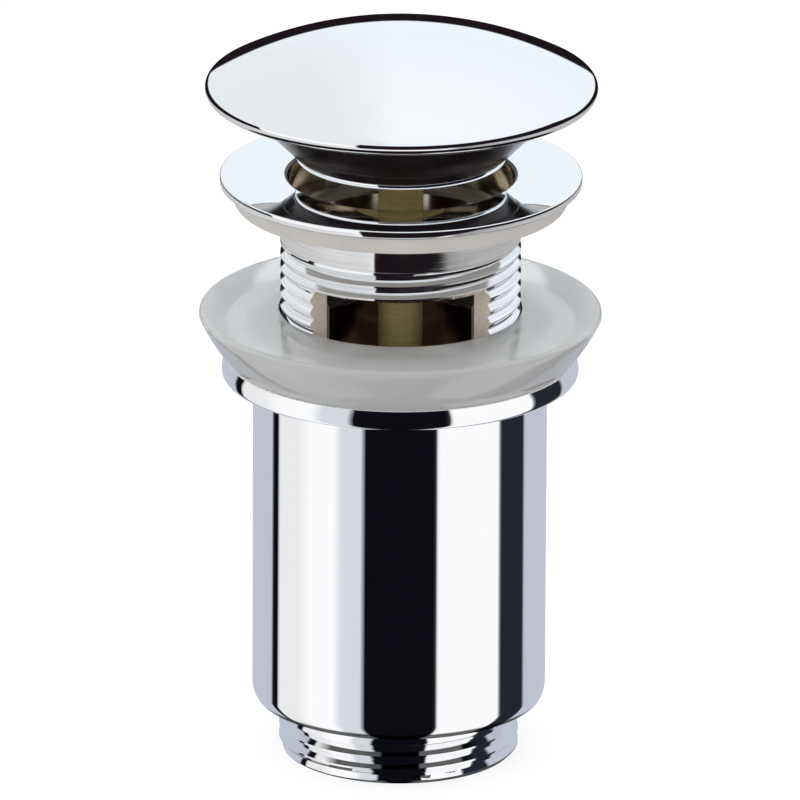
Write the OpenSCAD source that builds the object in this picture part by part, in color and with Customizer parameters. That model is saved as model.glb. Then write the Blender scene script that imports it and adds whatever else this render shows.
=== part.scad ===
// Pop up basin waste: a sprung click plug, a slotted tail with its flange, and a lower body.
// Lengths are in millimetres. Z is the axis of the waste, and z = 0 is the free end of the outlet.
// The plug is drawn up, which is the open position, and screw threads are drawn at their major diameter.

/* [Threads and fits] */
// Major diameter of the tail and outlet threads, G 1 1/4
thread_d = 41.91; // [41:0.01:43]
// Radial clearance of screwed and pressed fits
fit = 0.05; // [0.02:0.01:0.08]
// Radial clearance between pieces that run past each other
running = 0.25; // [0.15:0.01:0.3]

/* [Lower body] */
// Height of the threaded outlet
outlet_h = 10; // [6:0.5:20]
// Bore of the outlet
outlet_bore_d = 35.2; // [30:0.1:37]
// Chamfer on the free ends of the threads
thread_chamfer = 0.8; // [0.2:0.1:1.5]
// Diameter of the body
body_d = 51.3; // [50:0.1:55]
// Height of the body from the outlet to the collar
body_h = 58.9; // [50:0.1:80]
// Wall of the body round its chamber
body_wall = 2.85; // [2:0.05:3.4]
// Radius of the arc round the body's bottom corner
body_corner_r = 4.4; // [3.2:0.1:6]
// Height of that arc, up to where it meets the body's side
body_corner_h = 2.2; // [0.5:0.1:3]
// Diameter of the collar
collar_d = 62.2; // [61:0.1:66]
// Height of the collar
collar_h = 3.4; // [2.5:0.1:5]
// Radius of the collar's convex side
collar_side_r = 6; // [5:0.1:10]
// Radius on the collar's lower edge
collar_edge_r = 0.8; // [0.3:0.1:1.2]
// Radius in the corner between the collar and the body
collar_fillet_r = 0.5; // [0.3:0.1:1]
// Depth of the threaded socket below the collar's top
socket_depth = 38; // [30:0.5:44]

/* [Gaskets] */
// Rim diameter of the lower gasket
lower_gasket_d = 70.2; // [67:0.1:76]
// Diameter of the lower gasket's foot
lower_gasket_foot_d = 60.4; // [56:0.1:61]
// Height of the lower gasket
lower_gasket_h = 8.7; // [6:0.1:12]
// Bulge of the lower gasket's side
lower_gasket_bulge = 0.3; // [0.2:0.1:1]
// Radius on the lower gasket's rim
lower_gasket_rim_r = 1; // [0.5:0.1:2]
// Height of the flange gasket
flange_gasket_h = 3.5; // [2:0.1:5]
// Step from the flange's rim in to the gasket's rim
flange_gasket_inset = 1; // [0:0.1:2]
// Taper of the flange gasket's side
flange_gasket_taper = 1.7; // [0:0.1:2.5]

/* [Flange and tail] */
// Thickness of the basin between the two gaskets as drawn
deck_gap = 19.5; // [10:0.5:23]
// Diameter of the flange
flange_d = 63; // [62:0.5:72]
// Thickness of the flange's edge
flange_edge = 1.5; // [1:0.1:3]
// Radius on the two corners of the flange's edge
flange_edge_r = 0.3; // [0.2:0.05:1.5]
// Bore of the mouth
mouth_d = 39.4; // [38:0.1:39.8]
// Radius on the mouth's edge, where the seal seats
mouth_edge_r = 0.6; // [0.4:0.1:1.2]
// Depth of the mouth below the flange's top
mouth_depth = 7.9; // [6:0.1:10]
// Fall of the conical ledge between the mouth and the tail's bore
ledge_drop = 1.4; // [0.5:0.1:3]
// Bore of the tail
tail_bore_d = 34; // [32:0.1:36]
// Length of the tail from the flange's top
tail_len = 55.5; // [50:0.5:60]
// Drop from the flange's top to the top of the overflow slots
slot_drop = 16.75; // [14:0.25:20]
// Height of the overflow slots
slot_h = 12.25; // [8:0.25:15]
// Radius of the round cut that makes each slot
slot_cut_r = 21; // [18:0.5:26]
// Distance from the axis to the nearest point of a slot's cut
slot_reach = 6.9; // [5.5:0.1:9]
// Radius in the corners of the slots
slot_corner_r = 1.6; // [0.5:0.1:3]
// Height of the spider that carries the cartridge
spider_h = 8; // [5:0.5:10]
// Step up from the tail's end to the spider
spider_step = 2; // [0.5:0.5:4]
// Arms of the spider
arm_count = 4; // [3:1:5]
// Thickness of the spider's arms
arm_t = 3.2; // [2:0.1:5]
// Wall of the spider's hub
hub_wall = 2.5; // [2:0.1:3.5]

/* [Cartridge] */
// Diameter of the cartridge's thread
cartridge_d = 18; // [17.5:0.1:20]
// Wall of the cartridge's barrel
cartridge_wall = 1.8; // [1.2:0.1:2]
// Size across flats of the cartridge's head
head_af = 20; // [19:0.5:22]
// Height of the cartridge's head
head_h = 4.5; // [3:0.1:5]
// Wall of the gland round the bush
gland_wall = 1.7; // [1.2:0.1:2.2]
// Thickness of the roof that stops the spindle
roof_t = 2; // [1:0.1:3]
// Height of the guide bush
bush_h = 4; // [3:0.1:6]
// Wall of the guide bush
bush_wall = 1.9; // [1.2:0.1:2.4]
// Thickness of the gland's circlip
circlip_t = 0.8; // [0.5:0.1:1.2]
// Depth of the circlip in its groove
circlip_bite = 0.45; // [0.3:0.05:0.8]
// Height of the end plug
end_plug_h = 4; // [3:0.1:6]
// Size across flats of the locknut
locknut_af = 22; // [21:0.5:26]
// Height of the locknut
locknut_h = 4.2; // [3:0.1:6]
// Thickness of the lock washer
lock_washer_t = 0.8; // [0.5:0.1:1.5]

/* [Index mechanism] */
// Diameter of the spindle's drum
drum_d = 11; // [10.4:0.1:11.4]
// Depth of the track in the drum
track_depth = 1.3; // [0.8:0.1:1.6]
// Solid drum left above and below the track
track_margin = 2.2; // [1.8:0.1:3]
// Click cycles in one turn of the index ring
track_cycles = 4; // [3:1:4]
// Fall back from full press to the latched position
latch_back = 0.8; // [0.4:0.1:1.5]
// Diameter of the follower pins
pin_d = 1.5; // [1:0.1:1.6]
// Height of the index ring
index_ring_h = 4; // [3:0.1:5]

/* [Spring] */
// Length of the spring with the plug up
spring_len = 15.5; // [15:0.5:18]
// Diameter of the spring's wire
wire_d = 0.9; // [0.6:0.05:1]
// Turns of the spring, with one closed turn at each end
spring_turns = 7; // [5:1:7]

/* [Plug] */
// Travel of the plug from open to fully pressed
stroke = 5.2; // [4.5:0.1:6]
// Height left between the seal and its seat at full press
seal_gap = 0.4; // [0.3:0.05:0.8]
// Diameter of the spindle
spindle_d = 7.8; // [7:0.1:8.4]
// Length of the spindle inside the cap's boss
spindle_grip = 12; // [8:0.5:13]
// Diameter of the spindle's tip inside the spring
tip_d = 7; // [6:0.1:7.4]
// Length of the spindle's tip below its drum
tip_len = 6; // [3:0.1:6]
// Thickness of the thrust washer on the spring
thrust_washer_t = 0.8; // [0.5:0.1:1]
// Diameter of the cap
cap_d = 68.2; // [66:0.1:76]
// Radius of the cap's crown
crown_r = 70; // [64:0.5:100]
// Radius of the cap's rim
cap_rim_r = 1.6; // [1.5:0.05:2.5]
// Wall of the cap's crown
cap_wall = 2; // [1.2:0.1:3]
// Diameter of the boss under the cap
boss_d = 16; // [13:0.5:20]
// Height of the seal's cone
seal_h = 10.2; // [9:0.1:12]
// Wall of the seal's cone, measured level
seal_wall = 3.4; // [2.4:0.1:4.5]
// Thickness of the seal's disc
seal_disc_t = 3; // [2:0.1:4]
// Radius of the two grooves round the seal
seal_groove_r = 0.3; // [0.2:0.05:0.5]
// Height of the lower groove above the seal's foot
lower_groove_h = 2.1; // [1:0.1:4]
// Height of the upper groove above the seal's foot
upper_groove_h = 8.4; // [5:0.1:8.4]
// Thickness of the retainer disc under the seal
retainer_t = 1; // [0.8:0.1:1.6]
// Radial room of the retainer disc in the mouth
retainer_room = 1.5; // [0.8:0.1:2]
// Size across flats of the plug's nut
plug_nut_af = 13; // [12:0.5:16]
// Height of the plug's nut
plug_nut_h = 3.5; // [2.5:0.1:4]

/* [Hidden] */

$fn = 128;
// Extra length that a cut runs past the faces it opens
over = 1;

// Colours of the finishes
chrome = [0.80, 0.81, 0.84];
brass = [0.72, 0.61, 0.33];
clear_plastic = [0.86, 0.88, 0.88];
off_white = [0.84, 0.82, 0.78];
black_rubber = [0.06, 0.06, 0.07];
white_plastic = [0.93, 0.93, 0.90];
spring_steel = [0.62, 0.63, 0.65];

// Radii shared by the lower body and the tail
thread_r = thread_d / 2;
body_r = body_d / 2;
outlet_bore_r = outlet_bore_d / 2;
collar_r = collar_d / 2;
chamber_r = body_r - body_wall;
socket_r = thread_r + fit;
gasket_bore_r = thread_r + running;

// Levels from the outlet up to the flange
collar_z = outlet_h + body_h;
collar_top = collar_z + collar_h;
deck_under = collar_top + lower_gasket_h;
deck_top = deck_under + deck_gap;
flange_under = deck_top + flange_gasket_h;
flange_top = flange_under + flange_edge;
tail_end = flange_top - tail_len;
socket_z = collar_top - socket_depth;
slot_top = flange_top - slot_drop;

// Flange and mouth, whose rounded edge meets the seal where the edge slopes at 45 degrees
flange_r = flange_d / 2;
mouth_r = mouth_d / 2;
tail_bore_r = tail_bore_d / 2;
mouth_floor = flange_top - mouth_depth;
seat_r = mouth_r + mouth_edge_r * (1 - sqrt(1 / 2));
seat_z = flange_top - mouth_edge_r * (1 - sqrt(1 / 2));

// Spider and cartridge
hub_under = tail_end + spider_step;
hub_top = hub_under + spider_h;
cartridge_r = cartridge_d / 2;
hub_bore_r = cartridge_r + fit;
hub_r = hub_bore_r + hub_wall;
barrel_r = cartridge_r - cartridge_wall;

// Spindle, drum and track
spindle_r = spindle_d / 2;
drum_r = drum_d / 2;
tip_r = tip_d / 2;
pin_r = pin_d / 2;
track_r = drum_r - track_depth;
track_w = pin_d + 2 * running;
pin_z = hub_under;
drum_under = pin_z - track_margin;
drum_top = pin_z + stroke + track_margin;
cycle_angle = 360 / track_cycles;
leg_angle = 22.5;

// Bores of the cartridge and what they hold
upper_bore_r = drum_r + 2 * running;
gland_r = spindle_r + bush_wall + 2 * fit;
wiper_r = (gland_r - spindle_r) / 2 - fit;
index_ring_r = barrel_r - running;
index_top = pin_z + index_ring_h / 2;
index_under = pin_z - index_ring_h / 2;
index_step = index_top + fit;
roof_under = drum_top + running;
gland_floor = roof_under + roof_t;
wiper_z = gland_floor + bush_h + wiper_r;
circlip_z = wiper_z + wiper_r + fit;
circlip_r = gland_r + circlip_bite;
gland_top = circlip_z + 2 * circlip_t;
spring_top = drum_under - thrust_washer_t;
spring_seat = spring_top - spring_len;
end_plug_under = spring_seat - end_plug_h;
spring_r = (tip_r + upper_bore_r) / 2;

// Plug: the seal's cone rises at 45 degrees and comes down on the mouth's edge at full press
retainer_r = mouth_r - retainer_room;
seal_foot_r = retainer_r + running;
seal_foot = seat_z + stroke + seal_gap - (seat_r - seal_foot_r);
seal_top = seal_foot + seal_h;
seal_top_r = seal_foot_r + seal_h;
retainer_under = seal_foot - retainer_t;
boss_under = seal_foot + seal_disc_t;
boss_r = boss_d / 2;
spindle_top = boss_under + spindle_grip;
cap_r = cap_d / 2;
rim_centre_r = cap_r - cap_rim_r;
rim_z = seal_top + cap_rim_r;
crown_z = rim_z - sqrt(pow(crown_r - cap_rim_r, 2) - pow(rim_centre_r, 2));

// Plain tube between two levels
module tube(outer_r, inner_r, low, high) {
    translate([0, 0, low])
        difference() {
            cylinder(r = outer_r, h = high - low);
            translate([0, 0, -over]) cylinder(r = inner_r, h = high - low + 2 * over);
        }
}

// Rectangle in the half plane that is turned about the axis
module band(inner_r, outer_r, low, high) {
    translate([inner_r, low]) square([outer_r - inner_r, high - low]);
}

// Hexagonal prism whose corners are turned off at 30 degrees on the faces that are named
module hex_prism(flats, low, high, turn_top = true, turn_bottom = true) {
    corner_r = flats / sqrt(3);
    turned = (corner_r - flats / 2) * tan(30);
    intersection() {
        translate([0, 0, low]) cylinder(r = corner_r, h = high - low, $fn = 6);
        rotate_extrude()
            polygon([
                [0, low],
                [turn_bottom ? flats / 2 : corner_r, low],
                [corner_r, turn_bottom ? low + turned : low],
                [corner_r, turn_top ? high - turned : high],
                [turn_top ? flats / 2 : corner_r, high],
                [0, high],
            ]);
    }
}

// Hexagonal nut
module hex_nut(flats, bore_r, low, high) {
    difference() {
        hex_prism(flats, low, high);
        translate([0, 0, low - over]) cylinder(r = bore_r, h = high - low + 2 * over);
    }
}

// Lower body: outlet, chamber and the collar that carries the lower gasket
module lower_body() {
    widest_z = collar_z + collar_edge_r;
    corner_z = outlet_h + body_corner_h;
    color(chrome) rotate_extrude()
        difference() {
            union() {
                polygon([
                    [0, 0],
                    [thread_r - thread_chamfer, 0],
                    [thread_r, thread_chamfer],
                    [thread_r, outlet_h + over],
                    [0, outlet_h + over],
                ]);
                band(0, body_r - body_corner_r, outlet_h, collar_top);
                band(0, body_r, corner_z, collar_z + over);
                intersection() {
                    band(0, body_r, outlet_h, corner_z);
                    translate([body_r - body_corner_r, corner_z]) circle(body_corner_r);
                }
                band(0, collar_r - collar_edge_r, collar_z, widest_z);
                translate([collar_r - collar_edge_r, widest_z]) circle(collar_edge_r);
                band(0, collar_r - collar_side_r, widest_z, collar_top);
                intersection() {
                    band(0, collar_r, widest_z, collar_top);
                    translate([collar_r - collar_side_r, widest_z]) circle(collar_side_r);
                }
                difference() {
                    band(0, body_r + collar_fillet_r, collar_z - collar_fillet_r, collar_z + over);
                    translate([body_r + collar_fillet_r, collar_z - collar_fillet_r]) circle(collar_fillet_r);
                }
            }
            band(-over, outlet_bore_r, -over, collar_top + over);
            polygon([
                [0, outlet_h],
                [outlet_bore_r, outlet_h + over],
                [chamber_r, outlet_h + over + chamber_r - outlet_bore_r],
                [chamber_r, socket_z - abs(chamber_r - socket_r)],
                [socket_r, socket_z],
                [socket_r, collar_top - thread_chamfer],
                [socket_r + thread_chamfer + over, collar_top + over],
                [0, collar_top + over],
            ]);
        }
}

// Lower gasket: flat on top, with a bulged side that narrows to its foot on the collar
module lower_gasket() {
    rim_r = lower_gasket_d / 2;
    foot_r = lower_gasket_foot_d / 2;
    rim_centre_z = deck_under - lower_gasket_rim_r;
    side = [rim_r - foot_r, rim_centre_z - collar_top];
    side_len = norm(side);
    bulge_r = pow(side_len / 2, 2) / (2 * lower_gasket_bulge) + lower_gasket_bulge / 2;
    inward = [-side[1], side[0]] / side_len;
    bulge_centre = [foot_r, collar_top] + side / 2 + inward * (bulge_r - lower_gasket_bulge);
    color(clear_plastic) rotate_extrude()
        difference() {
            intersection() {
                translate(bulge_centre) circle(bulge_r);
                union() {
                    band(0, rim_r - lower_gasket_rim_r, collar_top, deck_under);
                    band(0, rim_r, collar_top, rim_centre_z);
                    translate([rim_r - lower_gasket_rim_r, rim_centre_z]) circle(lower_gasket_rim_r);
                }
            }
            band(-rim_r, gasket_bore_r, collar_top - over, deck_under + over);
        }
}

// Cut that opens one overflow slot through the tail's wall
module slot_cut() {
    low = slot_top - slot_h;
    corner = min(slot_corner_r, slot_h / 2);
    rotate_extrude() {
        band(0, slot_cut_r - corner, low, slot_top);
        band(0, slot_cut_r, low + corner, slot_top - corner);
        for (level = [low + corner, slot_top - corner])
            translate([slot_cut_r - corner, level]) circle(corner);
    }
}

// Flange and tail in one piece, with the rounded mouth, two overflow slots and the spider
module flange_tail() {
    edge_r = min(flange_edge_r, flange_edge / 2);
    arm_reach = (tail_bore_r + thread_r) / 2;
    color(chrome) {
        difference() {
            rotate_extrude() {
                difference() {
                    union() {
                        band(0, flange_r - edge_r, flange_under, flange_top);
                        band(0, flange_r, flange_under + edge_r, flange_top - edge_r);
                        for (level = [flange_under + edge_r, flange_top - edge_r])
                            translate([flange_r - edge_r, level]) circle(edge_r);
                        polygon([
                            [0, flange_under + over / 2],
                            [thread_r, flange_under + over / 2],
                            [thread_r, tail_end + thread_chamfer],
                            [thread_r - thread_chamfer, tail_end],
                            [0, tail_end],
                        ]);
                    }
                    band(-flange_r, mouth_r, mouth_floor, flange_top + over);
                    difference() {
                        band(mouth_r - over, mouth_r + mouth_edge_r, flange_top - mouth_edge_r, flange_top + over);
                        translate([mouth_r + mouth_edge_r, flange_top - mouth_edge_r]) circle(mouth_edge_r);
                    }
                    polygon([
                        [-flange_r, mouth_floor],
                        [mouth_r, mouth_floor],
                        [tail_bore_r, mouth_floor - ledge_drop],
                        [tail_bore_r, tail_end - over],
                        [-flange_r, tail_end - over],
                    ]);
                }
            }
            for (side = [-1, 1])
                translate([0, side * (slot_cut_r + slot_reach), 0]) slot_cut();
        }
        difference() {
            union() {
                translate([0, 0, hub_under]) cylinder(r = hub_r, h = spider_h);
                for (arm = [0 : arm_count - 1])
                    rotate(arm * 360 / arm_count + 180 / arm_count)
                        translate([0, -arm_t / 2, hub_under]) cube([arm_reach, arm_t, spider_h]);
            }
            translate([0, 0, hub_under - over]) cylinder(r = hub_bore_r, h = spider_h + 2 * over);
        }
    }
}

// Flange gasket: a ring under the flange, round the tail, with a tapered side
module flange_gasket() {
    rim_r = flange_r - flange_gasket_inset;
    color(off_white) rotate_extrude()
        polygon([
            [gasket_bore_r, deck_top],
            [rim_r - flange_gasket_taper, deck_top],
            [rim_r, flange_under],
            [gasket_bore_r, flange_under],
        ]);
}

// Cartridge body: a threaded barrel hung in the hub by its hexagonal head, with a gland on top
module cartridge_body() {
    neck_outer_r = gland_r + gland_wall;
    color(brass) difference() {
        union() {
            translate([0, 0, end_plug_under]) cylinder(r = cartridge_r, h = hub_top - end_plug_under + over);
            hex_prism(head_af, hub_top, hub_top + head_h, turn_bottom = false);
            translate([0, 0, hub_top]) cylinder(r = neck_outer_r, h = gland_top - hub_top);
        }
        rotate_extrude()
            polygon([
                [0, end_plug_under - over],
                [barrel_r, end_plug_under - over],
                [barrel_r, index_step],
                [upper_bore_r, index_step],
                [upper_bore_r, roof_under],
                [spindle_r + running, roof_under],
                [spindle_r + running, gland_floor],
                [gland_r, gland_floor],
                [gland_r, circlip_z],
                [circlip_r + fit, circlip_z],
                [circlip_r + fit, circlip_z + circlip_t],
                [gland_r, circlip_z + circlip_t],
                [gland_r, gland_top + over],
                [0, gland_top + over],
            ]);
    }
}

// Lock washer between the hub and the locknut
module lock_washer() {
    color(spring_steel) tube(hub_r, hub_bore_r, hub_under - lock_washer_t, hub_under);
}

// Locknut that clamps the cartridge to the hub from below
module cartridge_locknut() {
    color(brass)
        hex_nut(locknut_af, hub_bore_r, hub_under - lock_washer_t - locknut_h, hub_under - lock_washer_t);
}

// Guide bush of the spindle
module guide_bush() {
    color(white_plastic) tube(gland_r - fit, spindle_r + fit, gland_floor, gland_floor + bush_h);
}

// Wiper ring that keeps water off the guide bush
module wiper_ring() {
    color(black_rubber) rotate_extrude()
        translate([(gland_r + spindle_r) / 2, wiper_z]) circle(wiper_r);
}

// Circlip that holds the bush and the wiper ring in the gland
module gland_circlip() {
    opening = circlip_r / 2;
    color(spring_steel) difference() {
        tube(circlip_r, spindle_r + 2 * running, circlip_z, circlip_z + circlip_t);
        translate([0, -opening / 2, circlip_z - over])
            cube([circlip_r + over, opening, circlip_t + 2 * over]);
    }
}

// Sleeve that carries the index ring and guides the spring
module spacer_sleeve() {
    color(white_plastic) tube(barrel_r - fit, upper_bore_r, spring_seat, index_under - fit);
}

// End plug that closes the barrel and carries the spring and the sleeve
module end_plug() {
    spigot_h = wire_d;
    slot_t = end_plug_h / 3;
    drain_r = tip_r / 2;
    color(brass) difference() {
        union() {
            translate([0, 0, end_plug_under]) cylinder(r = barrel_r - fit, h = end_plug_h);
            translate([0, 0, spring_seat]) cylinder(r = tip_r, h = spigot_h);
        }
        translate([0, 0, end_plug_under - over]) cylinder(r = drain_r, h = end_plug_h + spigot_h + 2 * over);
        translate([-barrel_r, -slot_t / 2, end_plug_under - over]) cube([2 * barrel_r, slot_t, slot_t + over]);
    }
}

// Index ring, which the pins turn as they follow the track
module index_ring() {
    color(white_plastic) difference() {
        tube(index_ring_r, drum_r + running, index_under, index_top);
        for (turn = [0, 180])
            rotate(turn) translate([0, 0, pin_z]) rotate([0, 90, 0]) cylinder(r = pin_r + fit, h = barrel_r);
    }
}

// Pair of follower pins, through the index ring and into the track
module follower_pins() {
    pin_tip_r = track_r + running;
    color(spring_steel)
        for (turn = [0, 180])
            rotate(turn) translate([pin_tip_r, 0, pin_z]) rotate([0, 90, 0])
                cylinder(r = pin_r, h = index_ring_r - fit - pin_tip_r);
}

// Groove of the track from one knot, an angle and a height, to the next
module track_leg(from, to) {
    middle_r = (drum_r + track_r) / 2;
    across = middle_r * (to[0] - from[0]) * PI / 180;
    rise = to[1] - from[1];
    rotate((from[0] + to[0]) / 2)
        translate([track_r, 0, pin_z + (from[1] + to[1]) / 2])
            rotate([-atan2(across, rise), 0, 0])
                translate([0, -track_w / 2, -norm([across, rise]) / 2])
                    cube([track_depth + over, track_w, norm([across, rise])]);
}

// Closed zigzag track: down stroke, latch notch and return stroke in each cycle
module track() {
    notch = [2 * leg_angle, stroke - latch_back];
    knots = [[0, 0], [leg_angle, stroke], notch, [3 * leg_angle, stroke], [cycle_angle, 0]];
    for (cycle = [0 : track_cycles - 1])
        rotate(cycle * cycle_angle)
            for (leg = [1 : len(knots) - 1]) {
                track_leg(knots[leg - 1], knots[leg]);
                rotate(knots[leg][0]) translate([track_r, 0, pin_z + knots[leg][1]])
                    rotate([0, 90, 0]) cylinder(r = track_w / 2, h = track_depth + over);
            }
}

// Spindle: the rod to the cap, the drum with its track, and the tip inside the spring
module spindle() {
    tip_end = drum_under - tip_len;
    end_chamfer = tip_r / 8;
    color(brass) difference() {
        rotate_extrude()
            polygon([
                [0, tip_end],
                [tip_r - end_chamfer, tip_end],
                [tip_r, tip_end + end_chamfer],
                [tip_r, drum_under],
                [drum_r, drum_under],
                [drum_r, drum_top],
                [spindle_r, drum_top],
                [spindle_r, spindle_top - end_chamfer],
                [spindle_r - end_chamfer, spindle_top],
                [0, spindle_top],
            ]);
        track();
    }
}

// Thrust washer between the spring and the drum
module thrust_washer() {
    color(white_plastic) tube(drum_r, tip_r + fit, spring_top, drum_under);
}

// Height of the wire's centre after a number of turns, with one closed turn at each end
function coil_rise(turns) =
    let (total = spring_len - wire_d)
    turns < 1 ? wire_d * turns
    : turns > spring_turns - 1 ? total - wire_d * (spring_turns - turns)
    : wire_d + (total - 2 * wire_d) * (turns - 1) / (spring_turns - 2);

// Compression spring, a round wire swept along the coil
module spring() {
    sides = 8;
    steps_per_turn = 18;
    rings = spring_turns * steps_per_turn;
    points = [
        for (ring = [0 : rings], side = [0 : sides - 1])
            let (
                around = 360 * ring / steps_per_turn,
                section = 360 * (side + 0.5) / sides,
                reach = spring_r + wire_d / 2 * cos(section)
            )
            [
                reach * cos(around),
                reach * sin(around),
                spring_seat + wire_d / 2 + coil_rise(ring / steps_per_turn) + wire_d / 2 * sin(section),
            ],
    ];
    skin = [
        for (ring = [0 : rings - 1], side = [0 : sides - 1])
            let (
                a = ring * sides + side,
                b = ring * sides + (side + 1) % sides
            )
            each [[a, b, b + sides], [a, b + sides, a + sides]],
    ];
    first_end = [for (side = [sides - 1 : -1 : 0]) side];
    last_end = [for (side = [0 : sides - 1]) rings * sides + side];
    color(spring_steel) polyhedron(points, concat(skin, [first_end, last_end]));
}

// Cap: a domed shell with a rolled rim, a land for the seal and a boss for the spindle
module plug_cap() {
    land_r = seal_top_r - seal_wall;
    color(chrome) rotate_extrude()
        difference() {
            union() {
                intersection() {
                    translate([0, crown_z]) circle(crown_r);
                    band(0, rim_centre_r, seal_top, crown_z + crown_r);
                }
                translate([rim_centre_r, rim_z]) circle(cap_rim_r);
                band(0, boss_r, boss_under, rim_z);
            }
            intersection() {
                translate([0, crown_z]) circle(crown_r - cap_wall);
                band(boss_r, land_r, boss_under - over, crown_z + crown_r);
            }
            band(-over, spindle_r + fit, boss_under - over, spindle_top + fit);
        }
}

// Seal: a rubber cone parallel to its seat, closed by a disc that the boss clamps
module plug_seal() {
    disc_top_r = seal_foot_r + seal_disc_t - seal_wall;
    color(black_rubber) rotate_extrude()
        difference() {
            polygon([
                [spindle_r + fit, seal_foot],
                [seal_foot_r, seal_foot],
                [seal_top_r, seal_top],
                [seal_top_r - seal_wall, seal_top],
                [disc_top_r, boss_under],
                [spindle_r + fit, boss_under],
            ]);
            for (height = [lower_groove_h, upper_groove_h])
                translate([seal_foot_r + height, seal_foot + height]) circle(seal_groove_r);
        }
}

// Retainer disc under the seal
module seal_retainer() {
    edge_r = retainer_t / 4;
    color(chrome) rotate_extrude() {
        band(spindle_r + fit, retainer_r - edge_r, retainer_under, seal_foot);
        band(spindle_r + fit, retainer_r, retainer_under + edge_r, seal_foot - edge_r);
        for (level = [retainer_under + edge_r, seal_foot - edge_r])
            translate([retainer_r - edge_r, level]) circle(edge_r);
    }
}

// Nut on the spindle that clamps the retainer disc and the seal to the cap
module plug_nut() {
    color(brass) hex_nut(plug_nut_af, spindle_r + fit, retainer_under - plug_nut_h, retainer_under);
}

lower_body();
lower_gasket();
flange_tail();
flange_gasket();
cartridge_body();
lock_washer();
cartridge_locknut();
guide_bush();
wiper_ring();
gland_circlip();
spacer_sleeve();
end_plug();
index_ring();
follower_pins();
spindle();
thrust_washer();
spring();
plug_cap();
plug_seal();
seal_retainer();
plug_nut();
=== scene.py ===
"""Pop up basin waste: the chromed pieces, seals and gaskets, their finishes, and a plain studio."""

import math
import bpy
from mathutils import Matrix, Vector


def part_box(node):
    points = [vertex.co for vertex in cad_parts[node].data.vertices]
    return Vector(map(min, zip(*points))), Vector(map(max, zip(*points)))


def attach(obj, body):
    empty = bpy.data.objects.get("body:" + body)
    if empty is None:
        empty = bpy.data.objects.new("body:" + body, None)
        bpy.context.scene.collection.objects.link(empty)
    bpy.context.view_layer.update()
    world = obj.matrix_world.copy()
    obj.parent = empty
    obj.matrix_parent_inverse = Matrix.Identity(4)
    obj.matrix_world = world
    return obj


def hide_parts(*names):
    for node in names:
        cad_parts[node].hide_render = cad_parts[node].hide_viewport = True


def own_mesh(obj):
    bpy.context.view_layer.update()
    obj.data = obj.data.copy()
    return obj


bl_info = {
    "name": "Pop up basin waste",
    "version": (1, 0, 0),
    "blender": (4, 5, 0),
    "location": "3D View > Sidebar > Waste",
    "description": "Builds the pieces, the finishes and the studio of a pop up basin waste",
    "category": "Object",
}

import bmesh
import bpy
from mathutils import Matrix, Vector

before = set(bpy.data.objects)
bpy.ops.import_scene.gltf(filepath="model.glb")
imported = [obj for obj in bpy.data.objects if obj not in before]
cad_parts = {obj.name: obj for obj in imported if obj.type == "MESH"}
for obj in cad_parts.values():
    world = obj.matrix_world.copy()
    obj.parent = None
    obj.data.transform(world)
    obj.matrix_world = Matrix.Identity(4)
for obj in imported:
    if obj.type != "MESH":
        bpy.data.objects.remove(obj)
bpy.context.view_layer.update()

MM = 0.001

# Sides of a turned piece, steps of an arc, sides and steps per turn of the spring's wire, and sides of the
# track's round cutters
SEGMENTS = 192
ARC_STEPS = 8
WIRE_SIDES = 12
COIL_STEPS = 40
CUTTER_SIDES = 32
SHARP_ANGLE = math.radians(32)
# What counts as on the axis, what counts as on a level or a radius, and how far an upright face may lean
ON_AXIS = 1e-7
NEAR = 0.01 * MM
UPRIGHT = 0.7

# Pitch of the threads, and their form as shares of it
PITCH = 2.309 * MM
THREAD_DEPTH = 0.36 * PITCH
CREST_FLAT = 0.14 * PITCH
ROOT_FLAT = 0.1 * PITCH
CREST_EDGE = 0.03 * PITCH

# Where the threads start, as shares of a pitch
OUTLET_PHASE = 0.454
TAIL_PHASE = 0.294
# How the threads fade in at their free ends and out at their plain ends
LEAD_IN = 0.5 * MM
OUTLET_LEAD_OUT = 0.8 * PITCH
TAIL_LEAD_OUT = 0.35 * PITCH
# Narrow plain ring past each thread, which keeps the shading of the plain metal beyond it even
THREAD_GUARD = 0.03 * MM


def span(node):
    """Lowest level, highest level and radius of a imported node."""
    low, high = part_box(node)
    return low.z, high.z, high.x


BODY_LOW, COLLAR_TOP, COLLAR_R = span("lower_body")
GASKET_LOW, GASKET_TOP, GASKET_R = span("lower_gasket")
TAIL_END, FLANGE_TOP, FLANGE_R = span("flange_tail")
RING_LOW, RING_TOP, RING_R = span("flange_gasket")
SEAL_FOOT, SEAL_TOP, SEAL_R = span("plug_seal")
RETAINER_LOW, RETAINER_TOP, RETAINER_R = span("seal_retainer")
_, CAP_TOP, CAP_R = span("plug_cap")
SPRING_LOW, SPRING_TOP, _ = span("spring")
# How far the plug goes down
PRESS_TRAVEL = 5.2 * MM

# Turned metals: colour among the finishes, lowest and highest roughness, lines in a metre, depth of the lines
# and share of metal
TURNED = {
    "turned_chrome": ("chrome", 0.05, 0.14, 2600.0, 0.012 * MM, 1.0),
    "turned_brass": ("brass", 0.14, 0.26, 3600.0, 0.004 * MM, 0.4),
    "cut_brass": ("cut", 0.25, 0.4, 2400.0, 0.006 * MM, 0.0),
    # The plated bore's colour also carries painted shade further down the tail
    "thin_plated_bore": ("bore", 0.12, 0.22, 2400.0, 0.01 * MM, 1.0),
    # dull_inside is a dark metal that stands in for shade: painted shade under the lower gasket, in its bore
    # and on the mouth's edge
    "dull_inside": ("inside", 0.3, 0.45, 2400.0, 0.006 * MM, 1.0),
    "raw_inside": ("raw", 0.35, 0.5, 1800.0, 0.01 * MM, 0.3),
    "drawn_steel": ("steel", 0.2, 0.35, 4000.0, 0.004 * MM, 1.0),
}
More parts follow.
